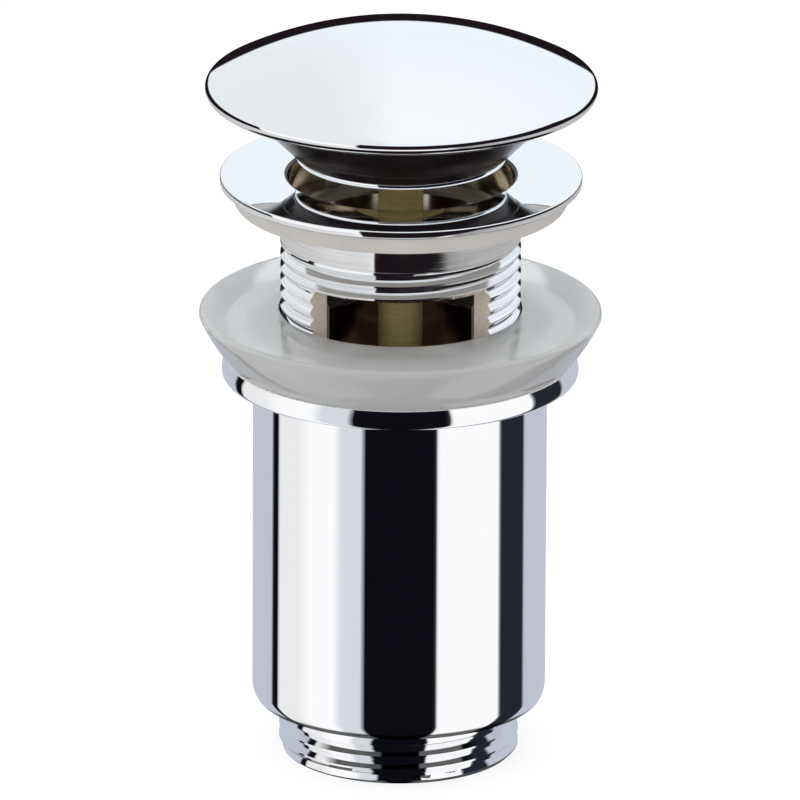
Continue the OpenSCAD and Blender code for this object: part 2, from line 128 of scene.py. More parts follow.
# Moulded and blasted surfaces: colour among the finishes, its two shades as shares, lowest and highest
# roughness, depth of the grain and specular level
MOULDED = {
    # blasted_seat is a pale matte ring in place of chrome, painted light that shows through the lower gasket
    "blasted_seat": ("seat", 1.0, 1.0, 0.6, 0.75, 0.01 * MM, 0.5),
    "off_white_rubber": ("off_white", 0.9, 1.0, 0.5, 0.65, 0.02 * MM, 0.5),
    "seal_rubber": ("rubber", 1.0, 1.5, 0.16, 0.26, 0.006 * MM, 0.3),
    "white_acetal": ("acetal", 0.93, 1.0, 0.35, 0.48, 0.01 * MM, 0.5),
}
# Shade of the lines in a turned metal, and strength of the bump of lines and of grain
LINE_SHADE = 0.82
LINE_BUMP = 0.6
GRAIN_BUMP = 0.35
# The colour sockets of a Mix node: its two inputs and its output
MIX_FIRST, MIX_SECOND, MIX_RESULT = 6, 7, 2


def length(label, text, millimetres):
    """A size property, stored in metres and written in millimetres."""
    return bpy.props.FloatProperty(
        name=label, description=text, default=millimetres * MM, min=0.0, unit="LENGTH", precision=5
    )


def colour(label, text, red, green, blue):
    """A colour property, linear, without alpha."""
    return bpy.props.FloatVectorProperty(
        name=label, description=text, default=(red, green, blue), size=3, min=0.0, max=1.0, subtype="COLOR"
    )


def turn(label, text, degrees):
    """An angle property, written in degrees."""
    return bpy.props.FloatProperty(
        name=label, description=text, default=math.radians(degrees), unit="ROTATION"
    )


class WasteBodySizes(bpy.types.PropertyGroup):
    """Sizes of the lower body and the gaskets."""

    thread_r: length("Thread radius", "Major radius of the tail and outlet threads", 20.955)
    outlet_h: length("Outlet height", "Height of the threaded outlet", 10)
    outlet_bore: length("Outlet bore", "Radius of the outlet's bore", 17.6)
    outlet_plain: length("Outlet neck", "Plain neck between the thread and the body", 1.6)
    chamfer: length("Thread chamfer", "Chamfer on the free ends of the threads", 0.8)
    body_r: length("Body radius", "Radius of the plain body", 25.65)
    body_corner: length("Body corner", "Radius of the body's bottom corner", 4.4)
    corner_h: length("Corner height", "Height of the body's bottom corner", 2.2)
    chamber_floor: length("Chamber floor", "Floor of the chamber above the outlet's top", 1)
    chamber_r: length("Chamber radius", "Radius of the chamber in the body", 22.8)
    socket_r: length("Socket radius", "Radius of the socket that takes the tail", 21.005)
    # Below this radius the collar's top carries painted shade that shows through the lower gasket; beyond it,
    # painted light
    socket_depth: length("Socket depth", "Depth of the socket below the collar's top", 38)
    seat_r: length("Seat radius", "Radius of the dull seat on the collar's top", 26.3)
    gasket_lift: length("Gasket lift", "Film of air between the collar and the lower gasket", 0.04)
    collar_h: length("Collar height", "Height of the collar", 3.4)
    collar_side: length("Collar side", "Radius of the collar's convex side", 6)
    collar_edge: length("Collar edge", "Radius on the collar's lower edge", 0.8)
    collar_fillet: length("Collar fillet", "Radius between the collar and the body", 0.5)
    gasket_foot: length("Gasket foot", "Radius of the lower gasket's foot", 30.2)
    gasket_rim: length("Gasket rim", "Radius on the lower gasket's rim", 1)
    gasket_bulge: length("Gasket bulge", "Bulge of the lower gasket's side", 0.3)
    gasket_bore: length("Gasket bore", "Radius of both gaskets' bores", 21.205)
    ring_taper: length("Ring taper", "Taper of the flange gasket's side", 1.7)
    ring_corner: length("Ring corner", "Radius on the flange gasket's corners", 0.35)


class WasteFlangeSizes(bpy.types.PropertyGroup):
    """Sizes of the flange, the tail and the spider."""

    flange_edge: length("Flange edge", "Thickness of the flange's edge", 1.5)
    flange_corner: length("Flange corner", "Radius on the corners of the flange's edge", 0.3)
    mouth_r: length("Mouth radius", "Radius of the mouth's bore", 19.7)
    mouth_edge: length("Mouth edge", "Radius on the mouth's edge", 0.6)
    mouth_depth: length("Mouth depth", "Depth of the mouth below the flange's top", 7.9)
    ledge_drop: length("Ledge drop", "Fall of the ledge between mouth and tail", 1.4)
    # The bore is painted dark below the slots' top, and this painted shade fades out over this height above
    # it
    bore_shade_fade: length("Stain fade", "Height over which the stain in the bore fades out", 0.6)
    tail_bore: length("Tail bore", "Radius of the tail's bore", 17)
    plain_h: length("Plain tail", "Height of the plain turned zone below the flange", 9.7)
    slot_drop: length("Slot drop", "Drop from the flange's top to the slots", 16.75)
    slot_h: length("Slot height", "Height of the overflow slots", 12.25)
    slot_cut: length("Slot cut", "Radius of the round cut of each slot", 21)
    slot_reach: length("Slot reach", "Distance from the axis to a slot's cut", 6.9)
    slot_corner: length("Slot corner", "Radius in the corners of the slots", 1.6)
    spider_h: length("Spider height", "Height of the spider", 8)
    spider_step: length("Spider step", "Step up from the tail's end to the spider", 2)
    arm_t: length("Arm thickness", "Thickness of the spider's arms", 3.2)
    arm_root: length("Arm root", "How far the arms run into the tail's wall", 1.2)
    hub_r: length("Hub radius", "Radius of the spider's hub", 11.55)
    hub_bore: length("Hub bore", "Radius of the hub's bore", 9.05)
    arm_count: bpy.props.IntProperty(name="Arms", description="Arms of the spider", default=4, min=3)


class WastePlugSizes(bpy.types.PropertyGroup):
    """Sizes of the cap, the seal, the retainer disc and the spring."""

    crown_r: length("Crown radius", "Radius of the cap's crown", 70)
    rim_r: length("Rim radius", "Radius of the cap's rolled rim", 1.6)
    wall: length("Cap wall", "Wall of the cap's crown", 2)
    boss_r: length("Boss radius", "Radius of the boss under the cap", 8)
    boss_drop: length("Boss height", "Height of the boss's end above the seal's foot", 3)
    grip: length("Spindle grip", "Length of the spindle inside the boss", 12)
    spindle_r: length("Spindle radius", "Radius of the spindle", 3.9)
    fit: length("Fit", "Radial clearance of pressed fits", 0.05)
    seal_foot_r: length("Seal foot", "Radius of the seal's foot", 18.45)
    seal_wall: length("Seal wall", "Wall of the seal's cone, measured level", 3.4)
    seal_disc: length("Seal disc", "Thickness of the seal's disc", 3)
    seal_corner: length("Seal corner", "Radius on the seal's corners", 0.4)
    groove_r: length("Seal groove", "Radius of the grooves round the seal", 0.3)
    lower_groove: length("Lower groove", "Height of the lower groove above the foot", 2.1)
    upper_groove: length("Upper groove", "Height of the upper groove above the foot", 8.4)
    retainer_corner: length("Retainer corner", "Radius on the retainer disc's edge", 0.25)
    spindle_chamfer: length("Spindle chamfer", "Chamfer on the spindle's two ends", 0.4375)
    tip_r: length("Tip radius", "Radius of the spindle's tip inside the spring", 3.5)
    tip_len: length("Tip length", "Length of the spindle's tip below its drum", 6)
    track_w: length("Track width", "Width of the track in the drum", 2)
    track_depth: length("Track depth", "Depth of the track in the drum", 1.3)
    track_margin: length("Track margin", "Solid drum left above and below the track", 2.2)
    latch_back: length("Latch fall", "Fall back from full press to the latched position", 0.8)
    track_cycles: bpy.props.IntProperty(name="Clicks", description="Click cycles in a turn", default=4, min=2)
    wire_r: length("Wire radius", "Radius of the spring's wire", 0.45)
    coil_r: length("Coil radius", "Mean radius of the spring", 4.75)
    coil_turns: bpy.props.IntProperty(name="Coil turns", description="Turns of the spring", default=7, min=3)


class WasteFinishes(bpy.types.PropertyGroup):
    """Colours of the finishes."""

    chrome: colour("Chrome", "Polished chrome plate", 0.93, 0.935, 0.945)
    brass: colour("Brass", "Turned, unplated brass", 0.80, 0.64, 0.30)
    bore: colour("Bore", "Thin plate inside the tail, where brass shows through", 0.78, 0.71, 0.60)
    # Painted shade: the darker colour of the bore below the slots' top, in place of the shade deep in the
    # tail
    bore_shade: colour("Stain", "Stained plate further down the tail", 0.30, 0.21, 0.235)
    cut: colour("Cut", "Faces of the overflow slots", 0.80, 0.71, 0.59)
    steel: colour("Steel", "Spring wire and strip", 0.58, 0.585, 0.60)
    acetal: colour("Acetal", "White moulded plastic", 0.86, 0.86, 0.82)
    rubber: colour("Rubber", "Black seal rubber", 0.012, 0.008, 0.010)
    milky: colour("Milky plastic", "Translucent lower gasket", 0.95, 0.97, 0.97)
    # Painted light: pale colour on the collar's top under the outer part of the gasket
    seat: colour("Seat", "Blasted seat of the lower gasket", 0.96, 0.96, 0.95)
    # Painted shade: a dark metal put under the lower gasket, in its bore and on the mouth's edge, where there
    # is only shade
    inside: colour("Inside", "Dull metal under the lower gasket and at the mouth's edge", 0.10, 0.095, 0.09)
    raw: colour("Raw inside", "Unplated bore of the lower body", 0.50, 0.46, 0.38)
    off_white: colour("Off-white rubber", "Gasket under the flange", 0.47, 0.45, 0.43)
    floor: colour("Floor", "Pale floor of the studio", 0.93, 0.93, 0.93)


class WasteStudio(bpy.types.PropertyGroup):
    """Camera and surroundings."""

    elevation: turn("Elevation", "Height of the camera above the horizon", 19.3)
    roll: turn("Roll", "Lean of the object to the right in the picture", 0.28)
    aim: length("Aim", "Height that the camera looks at", 63.85)
    view_width: length("View width", "Width of the view at the object", 139.5)
    lens: length("Focal length", "Focal length of the camera's lens", 800)
    sensor: length("Sensor", "Width of the camera's sensor", 36)
    ring_r: length("Card ring", "Radius of the ring of cards round the body", 40)
    ring_top: length("Ring top", "Level of the top of the ring of cards", 80)
    ring_depth: length("Ring depth", "How far the ring of cards goes down", 250)
    ring_dim: length("Ring dimming", "Depth below which the cards are dim", 8)


def outline_arc(centre, radius, start, end, steps=ARC_STEPS):
    """Points of an arc in the half plane of (radius, height), between two angles in degrees."""
    points = []
    for step in range(steps + 1):
        angle = math.radians(start + (end - start) * step / steps)
        points.append((centre[0] + radius * math.cos(angle), centre[1] + radius * math.sin(angle)))
    return points


def rounded(corners):
    """Closed outline through (radius, height, fillet) corners, with an arc at each corner that has one."""
    outline = []
    for index, (r, z, fillet) in enumerate(corners):
        here = Vector((r, z))
        if fillet == 0:
            outline.append((r, z))
            continue
        back = (Vector(corners[index - 1][:2]) - here).normalized()
        ahead = (Vector(corners[(index + 1) % len(corners)][:2]) - here).normalized()
        half = back.angle(ahead) / 2
        centre = here + (back + ahead).normalized() * fillet / math.sin(half)
        first = here + back * fillet / math.tan(half) - centre
        last = here + ahead * fillet / math.tan(half) - centre
        start = math.atan2(first.y, first.x)
        sweep = (math.atan2(last.y, last.x) - start + math.pi) % math.tau - math.pi
        outline += outline_arc(centre, fillet, math.degrees(start), math.degrees(start + sweep))
    return outline


def add_lathe(mesh, outline, closed=True):
    """Turns an outline of (radius, height) points about the axis, and returns its rings of vertices."""
    rings = []
    for r, z in outline:
        count = 1 if r < ON_AXIS else SEGMENTS
        ring = []
        for step in range(count):
            angle = math.tau * step / SEGMENTS
            ring.append(mesh.verts.new((r * math.cos(angle), r * math.sin(angle), z)))
        rings.append(ring)
    following = rings[1:] + rings[:1] if closed else rings[1:]
    for lower, upper in zip(rings, following):
        for step in range(SEGMENTS):
            ahead = (step + 1) % SEGMENTS
            corners = [lower[step % len(lower)], lower[ahead % len(lower)]]
            corners += [upper[ahead % len(upper)], upper[step % len(upper)]]
            add_face(mesh, corners)
    return rings


def add_face(mesh, corners):
    """Adds a face through the corners that differ, if three or more do."""
    different = list(dict.fromkeys(corners))
    if len(different) > 2:
        mesh.faces.new(different)


def thread_form():
    """Rise and depth of the thread's rows over one pitch, from one crest to the next."""
    crest = CREST_FLAT / 2
    root = ROOT_FLAT / 2
    half = [(crest, 0), (crest + CREST_EDGE, CREST_EDGE), (PITCH / 2 - root, THREAD_DEPTH)]
    return [(-crest, 0)] + half + [(PITCH - rise, depth) for rise, depth in half[:0:-1]]


def add_thread(mesh, low_ring, high_ring, phase, lead_low, lead_high):
    """Right-handed thread between two rings, which fades out over a lead at each end."""
    low = low_ring[0].co.z
    high = high_ring[0].co.z
    low_r = low_ring[0].co.xy.length
    high_r = high_ring[0].co.xy.length
    crest_r = max(low_r, high_r)
    form = thread_form()
    turns = math.ceil((high - low) / PITCH) + 2
    first = low - PITCH * (2 - phase % 1)
    rows = (turns + 2) * len(form)

    def vertex(column, row):
        if column == SEGMENTS:
            return columns[0][min(row + len(form), rows - 1)]
        return columns[column][row]

    columns = []
    for step in range(SEGMENTS):
        angle = math.tau * step / SEGMENTS
        column = []
        for row in range(rows):
            rise, depth = form[row % len(form)]
            z = first + PITCH * (row // len(form) + step / SEGMENTS) + rise
            if z <= low:
                column.append(low_ring[step])
            elif z >= high:
                column.append(high_ring[step])
            else:
                fade = min(1, (z - low) / lead_low, (high - z) / lead_high)
                r = min(crest_r, low_r + (z - low)) - depth * fade
                column.append(mesh.verts.new((r * math.cos(angle), r * math.sin(angle), z)))
        columns.append(column)
    for step in range(SEGMENTS):
        for row in range(rows - 1):
            corners = [vertex(step, row), vertex(step + 1, row)]
            corners += [vertex(step + 1, row + 1), vertex(step, row + 1)]
            add_face(mesh, corners)


def add_block(mesh, low, high, around):
    """Box between two corners, turned about the axis."""
    spot = Matrix.Rotation(around, 4, "Z") @ Matrix.Translation((low + high) / 2)
    spot = spot @ Matrix.Diagonal((*(high - low), 1))
    bmesh.ops.create_cube(mesh, size=1, matrix=spot)


def shade(data):
    """Smooth faces with sharp edges where they meet at an angle."""
    data.polygons.foreach_set("use_smooth", [True] * len(data.polygons))
    data.set_sharp_from_angle(angle=SHARP_ANGLE)


def make_object(name, mesh):
    """Object from a bmesh, with its normals outwards and its faces smooth."""
    bmesh.ops.recalc_face_normals(mesh, faces=mesh.faces)
    data = bpy.data.meshes.new(name)
    mesh.to_mesh(data)
    mesh.free()
    shade(data)
    made = bpy.data.objects.new(name, data)
    bpy.context.scene.collection.objects.link(made)
    return made


def turned_piece(name, outline):
    """Object that is one closed outline turned about the axis."""
    mesh = bmesh.new()
    add_lathe(mesh, outline)
    return make_object(name, mesh)


def cut_or_join(target, tool, operation):
    """Cuts a tool object out of a target, or joins it to it, and removes the tool."""
    modifier = target.modifiers.new(operation, "BOOLEAN")
    modifier.operation = operation
    modifier.solver = "EXACT"
    modifier.use_self = True
    modifier.object = tool
    depsgraph = bpy.context.evaluated_depsgraph_get()
    result = bpy.data.meshes.new_from_object(target.evaluated_get(depsgraph))
    target.modifiers.clear()
    target.data = result
    bpy.data.objects.remove(tool)


def dress(piece, body, slot, node, *finishes):
    """Gives a piece its body and finishes, the main one first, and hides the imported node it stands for."""
    for finish in finishes:
        piece.data.materials.append(finish)
    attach(piece, body)
    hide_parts(node)


def placed_faces(piece):
    """Each face of a piece, with its distance from the axis and whether it looks towards the axis."""
    for face in piece.data.polygons:
        x, y, _ = face.center
        yield face, math.hypot(x, y), face.normal.x * x + face.normal.y * y < 0


def add_node(tree, kind, **settings):
    """Adds a node to a tree with some of its settings."""
    made = tree.nodes.new(kind)
    for name, value in settings.items():
        setattr(made, name, value)
    return made


def feed(tree, socket, value):
    """Links another socket to a socket, or gives it a plain number or colour."""
    if isinstance(value, bpy.types.NodeSocket):
        tree.links.new(value, socket)
    elif socket.type == "RGBA":
        socket.default_value = (*value, 1)
    else:
        socket.default_value = value


def arithmetic(tree, operation, *values):
    """Math node on sockets or numbers, which returns its output."""
    made = add_node(tree, "ShaderNodeMath", operation=operation)
    for socket, value in zip(made.inputs, values):
        feed(tree, socket, value)
    return made.outputs[0]


def ranged(tree, value, low, high, out_low=0.0, out_high=1.0):
    """Map Range node, clamped, on sockets or numbers, which returns its output."""
    made = add_node(tree, "ShaderNodeMapRange")
    for socket, given in zip(made.inputs, (value, low, high, out_low, out_high)):
        feed(tree, socket, given)
    return made.outputs[0]


def noise(tree, place, scale, detail, roughness=0.5):
    """Noise texture at a place, which returns its value."""
    made = add_node(tree, "ShaderNodeTexNoise")
    given = {"Vector": place, "Scale": scale, "Detail": detail, "Roughness": roughness}
    for label, value in given.items():
        feed(tree, made.inputs[label], value)
    return made.outputs["Fac"]


def axes(tree, kind):
    """Separate axes of a texture coordinate."""
    parts = add_node(tree, "ShaderNodeSeparateXYZ")
    tree.links.new(add_node(tree, "ShaderNodeTexCoord").outputs[kind], parts.inputs[0])
    return parts.outputs


def mixed_colour(tree, mask, first, second):
    """Colour socket that goes from one colour, or colour socket, to another with a mask."""
    mix = add_node(tree, "ShaderNodeMix", data_type="RGBA")
    tree.links.new(mask, mix.inputs["Factor"])
    feed(tree, mix.inputs[MIX_FIRST], first)
    feed(tree, mix.inputs[MIX_SECOND], second)
    return mix.outputs[MIX_RESULT]


def mixed_shader(tree, mask, first, second):
    """Shader socket that goes from one shader socket to another with a mask."""
    mix = add_node(tree, "ShaderNodeMixShader")
    for socket, value in zip(mix.inputs, (mask, first, second)):
        tree.links.new(value, socket)
    return mix.outputs[0]


def new_group(name, inputs, outputs):
    """Empty shader node group with float inputs (name: default) and named float outputs."""
    group = bpy.data.node_groups.new(name, "ShaderNodeTree")
    for label, value in inputs.items():
        socket = group.interface.new_socket(label, in_out="INPUT", socket_type="NodeSocketFloat")
        socket.default_value = value
    for label in outputs:
        group.interface.new_socket(label, in_out="OUTPUT", socket_type="NodeSocketFloat")
    return group, group.nodes.new("NodeGroupInput"), group.nodes.new("NodeGroupOutput")


def handling_marks_group():
    """Soft, cloudy differences in gloss, as polished metal has after handling."""
    name = "Handling marks"
    if name in bpy.data.node_groups:
        return bpy.data.node_groups[name]
    group, given, out = new_group(name, {"Scale": 90.0, "Lowest": 0.03, "Highest": 0.08}, ["Roughness"])
    spot = add_node(group, "ShaderNodeTexCoord").outputs["Object"]
    cloud = noise(group, spot, given.outputs["Scale"], detail=5.0, roughness=0.62)
    level = ranged(group, cloud, 0.42, 0.72, given.outputs["Lowest"], given.outputs["Highest"])
    group.links.new(level, out.inputs["Roughness"])
    return group


def turned_lines_group():
    """Fine lines that a cutting tool leaves round the axis."""
    name = "Turned lines"
    if name in bpy.data.node_groups:
        return bpy.data.node_groups[name]
    group, given, out = new_group(name, {"Density": 3000.0, "Broken": 0.6}, ["Height", "Tone"])
    x, y, z = axes(group, "Object")
    squares = [arithmetic(group, "MULTIPLY", axis, axis) for axis in (x, y)]
    reach = arithmetic(group, "SQRT", arithmetic(group, "ADD", *squares))
    around = arithmetic(group, "ARCTAN2", y, x)
    place = add_node(group, "ShaderNodeCombineXYZ")
    for socket, value, label in zip(place.inputs, (reach, z, around), ("Density", "Density", "Broken")):
        group.links.new(arithmetic(group, "MULTIPLY", value, given.outputs[label]), socket)
    lines = noise(group, place.outputs[0], 1.0, detail=3.0)
    group.links.new(lines, out.inputs["Height"])
    group.links.new(ranged(group, lines, 0.35, 0.65), out.inputs["Tone"])
    return group


def moulded_grain_group():
    """Fine grain and slow clouding of moulded rubber and plastic."""
    name = "Moulded grain"
    if name in bpy.data.node_groups:
        return bpy.data.node_groups[name]
    group, given, out = new_group(name, {"Grain": 6000.0, "Cloud": 120.0}, ["Height", "Tone"])
    spot = add_node(group, "ShaderNodeTexCoord").outputs["Object"]
    for label, output, detail in (("Grain", "Height", 2.0), ("Cloud", "Tone", 4.0)):
        grain = noise(group, spot, given.outputs[label], detail)
        group.links.new(ranged(group, grain, 0.3, 0.7), out.inputs[output])
    return group


def place_group(tree, group, **values):
    """Places a node group in a material with its own values."""
    made = add_node(tree, "ShaderNodeGroup", node_tree=group)
    for label, value in values.items():
        made.inputs[label].default_value = value
    return made


def new_material(name, base, **plain):
    """Principled material with a base colour and other plain socket values."""
    material = bpy.data.materials.new(name)
    material.use_nodes = True
    shader = material.node_tree.nodes["Principled BSDF"]
    shader.inputs["Base Color"].default_value = (*base, 1)
    for label, value in plain.items():
        shader.inputs[label.replace("_", " ")].default_value = value
    return material, material.node_tree, shader


def add_marks(tree, shader, scale, smooth, rough):
    """Cloudy gloss between two roughnesses."""
    marks = place_group(tree, handling_marks_group(), Scale=scale, Lowest=smooth, Highest=rough)
    tree.links.new(marks.outputs["Roughness"], shader.inputs["Roughness"])


def add_bump(tree, shader, height, strength, distance):
    """Bump from a height socket into a shader's normal."""
    bump = add_node(tree, "ShaderNodeBump")
    bump.inputs["Strength"].default_value = strength
    bump.inputs["Distance"].default_value = distance
    tree.links.new(height, bump.inputs["Height"])
    tree.links.new(bump.outputs["Normal"], shader.inputs["Normal"])


def add_grain(tree, shader, shades, gloss, strength, depth, **values):
    """Clouding between two shades and two roughnesses, and a fine grain."""
    grain = place_group(tree, moulded_grain_group(), **values)
    cloud = grain.outputs["Tone"]
    tree.links.new(mixed_colour(tree, cloud, *shades), shader.inputs["Base Color"])
    tree.links.new(ranged(tree, cloud, 0.0, 1.0, *gloss), shader.inputs["Roughness"])
    add_bump(tree, shader, grain.outputs["Height"], strength, depth)


def shaded(base, share):
    """A share of a colour."""
    return [share * value for value in base]


def polished_chrome():
    """Mirror chrome with faint handling marks."""
    name = "polished_chrome"
    if name in bpy.data.materials:
        return bpy.data.materials[name]
    material, tree, shader = new_material(name, bpy.context.scene.waste_finishes.chrome, Metallic=1.0)
    add_marks(tree, shader, scale=70.0, smooth=0.015, rough=0.05)
    return material


def turned_metal(name):
    """One of the turned metals, with lines of the cutting tool round the axis and cloudy gloss."""
    if name in bpy.data.materials:
        return bpy.data.materials[name]
    tint, smooth, rough, density, depth, metal = TURNED[name]
    base = getattr(bpy.context.scene.waste_finishes, tint)
    material, tree, shader = new_material(name, base, Metallic=metal)
    add_marks(tree, shader, scale=110.0, smooth=smooth, rough=rough)
    lines = place_group(tree, turned_lines_group(), Density=density)
    tone = mixed_colour(tree, lines.outputs["Tone"], shaded(base, LINE_SHADE), base)
    tree.links.new(tone, shader.inputs["Base Color"])
    add_bump(tree, shader, lines.outputs["Height"], LINE_BUMP, depth)
    return material


def moulded(name):
    """One of the moulded or blasted surfaces, with a fine grain and slow clouding."""
    if name in bpy.data.materials:
        return bpy.data.materials[name]
    tint, first, second, smooth, rough, depth, specular = MOULDED[name]
    base = getattr(bpy.context.scene.waste_finishes, tint)
    shades = [shaded(base, share) for share in (first, second)]
    material, tree, shader = new_material(name, shades[0], Specular_IOR_Level=specular)
    add_grain(tree, shader, shades, (smooth, rough), GRAIN_BUMP, depth)
    return material


def milky_plastic():
    """Translucent gasket plastic, through which its seat shows faintly."""
    milky = bpy.context.scene.waste_finishes.milky
    material, tree, shader = new_material(
        "milky_plastic", milky, IOR=1.5, Transmission_Weight=0.6, Subsurface_Weight=0.3,
        Subsurface_Radius=(1.0, 1.0, 1.0), Subsurface_Scale=1.5 * MM,
    )
    shades = (shaded(milky, 0.95), milky)
    add_grain(
        tree, shader, shades, gloss=(0.07, 0.12), strength=0.2, depth=0.01 * MM, Grain=3500.0, Cloud=60.0
    )
    return material


class WASTE_OT_lower_body(bpy.types.Operator):
    """Chromed lower body with its collar and its threaded outlet"""

    bl_idname = "waste.lower_body"
    bl_label = "Lower body"

    def execute(self, context):
        size = context.scene.waste_body
        outlet_top = BODY_LOW + size.outlet_h
        socket_z = COLLAR_TOP - size.socket_depth
        collar_z = COLLAR_TOP - size.collar_h
        widest_z = collar_z + size.collar_edge
        fillet = size.collar_fillet
        corner = size.body_corner
        corner_turn = math.degrees(math.asin(size.corner_h / corner))
        side_turn = math.degrees(math.asin((COLLAR_TOP - widest_z) / size.collar_side))
        floor_z = outlet_top + size.chamber_floor
        thread_top = outlet_top - size.outlet_plain
        outline = [(size.thread_r, level) for level in (thread_top, thread_top + THREAD_GUARD, outlet_top)]
        outline += outline_arc((size.body_r - corner, outlet_top + size.corner_h), corner, -corner_turn, 0)
        outline += outline_arc((size.body_r + fillet, collar_z - fillet), fillet, 180, 90)
        outline += outline_arc((COLLAR_R - size.collar_edge, widest_z), size.collar_edge, -90, 0)
        outline += outline_arc((COLLAR_R - size.collar_side, widest_z), size.collar_side, 0, side_turn)[1:]
        outline += [
            (size.seat_r, COLLAR_TOP),
            (size.socket_r + size.chamfer, COLLAR_TOP),
            (size.socket_r, COLLAR_TOP - size.chamfer),
            (size.socket_r, socket_z),
            (size.chamber_r, socket_z - (size.chamber_r - size.socket_r)),
            (size.chamber_r, floor_z + size.chamber_r - size.outlet_bore),
            (size.outlet_bore, floor_z),
            (size.outlet_bore, BODY_LOW),
            (size.thread_r - size.chamfer, BODY_LOW),
        ]
        mesh = bmesh.new()
        rings = add_lathe(mesh, outline, closed=False)
        add_thread(mesh, rings[-1], rings[0], OUTLET_PHASE, LEAD_IN, OUTLET_LEAD_OUT)
        piece = make_object("lower_body_shell", mesh)
        self.finish(piece, size)
        return {"FINISHED"}

    def finish(self, piece, size):
        """Chrome outside, painted shade and painted light on two rings below the translucent gasket, and bare
        metal inside.
        """
        finishes = [polished_chrome(), turned_metal("dull_inside")]
        finishes += [moulded("blasted_seat"), turned_metal("raw_inside")]
        dress(piece, "lower_body", "chromed_brass", "lower_body", *finishes)
        _, painted_dark, seat, raw = range(len(finishes))
        for face, reach, inward in placed_faces(piece):
            on_top = face.center.z > COLLAR_TOP - NEAR
            # Painted shade: dark ring on the collar's top, seen through the inner part of the gasket
            if on_top and reach < size.seat_r:
                face.material_index = painted_dark
            # Painted light: pale ring on the collar's top, seen through the outer part of the gasket
            elif on_top and reach < size.gasket_foot:
                face.material_index = seat
            elif inward and face.center.z < COLLAR_TOP:
                face.material_index = raw


class WASTE_OT_gaskets(bpy.types.Operator):
    """Wide translucent gasket below the basin and off-white ring under the flange"""

    bl_idname = "waste.gaskets"
    bl_label = "Gaskets"

    def execute(self, context):
        size = context.scene.waste_body
        rim_centre = (GASKET_R - size.gasket_rim, GASKET_TOP - size.gasket_rim)
        base = GASKET_LOW + size.gasket_lift
        foot = Vector((size.gasket_foot, base))
        side = Vector((GASKET_R, rim_centre[1])) - foot
        outward = Vector((side.y, -side.x)).normalized()
        outline = []
        for step in range(ARC_STEPS):
            share = step / ARC_STEPS
            swell = 4 * share * (1 - share) * size.gasket_bulge
            outline.append(tuple(foot + side * share + outward * swell))
        outline += outline_arc(rim_centre, size.gasket_rim, 0, 90)
        outline += [(size.gasket_bore, GASKET_TOP), (size.gasket_bore, base)]
        lower = turned_piece("lower_gasket_ring", outline)
        finishes = (milky_plastic(), turned_metal("dull_inside"))
        dress(lower, "lower_body", "clear_gasket", "lower_gasket", *finishes)
        _, painted_dark = range(len(finishes))
        # Painted shade: the gasket's bore takes the dark metal in place of the shade inside it
        for face, reach, _ in placed_faces(lower):
            if reach < size.gasket_bore + NEAR:
                face.material_index = painted_dark
        upper = turned_piece("flange_gasket_ring", rounded([
            (size.gasket_bore, RING_LOW, size.ring_corner),
            (RING_R - size.ring_taper, RING_LOW, size.ring_corner),
            (RING_R, RING_TOP, size.ring_corner),
            (size.gasket_bore, RING_TOP, size.ring_corner),
        ]))
        dress(upper, "flange", "off_white_gasket", "flange_gasket", moulded("off_white_rubber"))
        return {"FINISHED"}


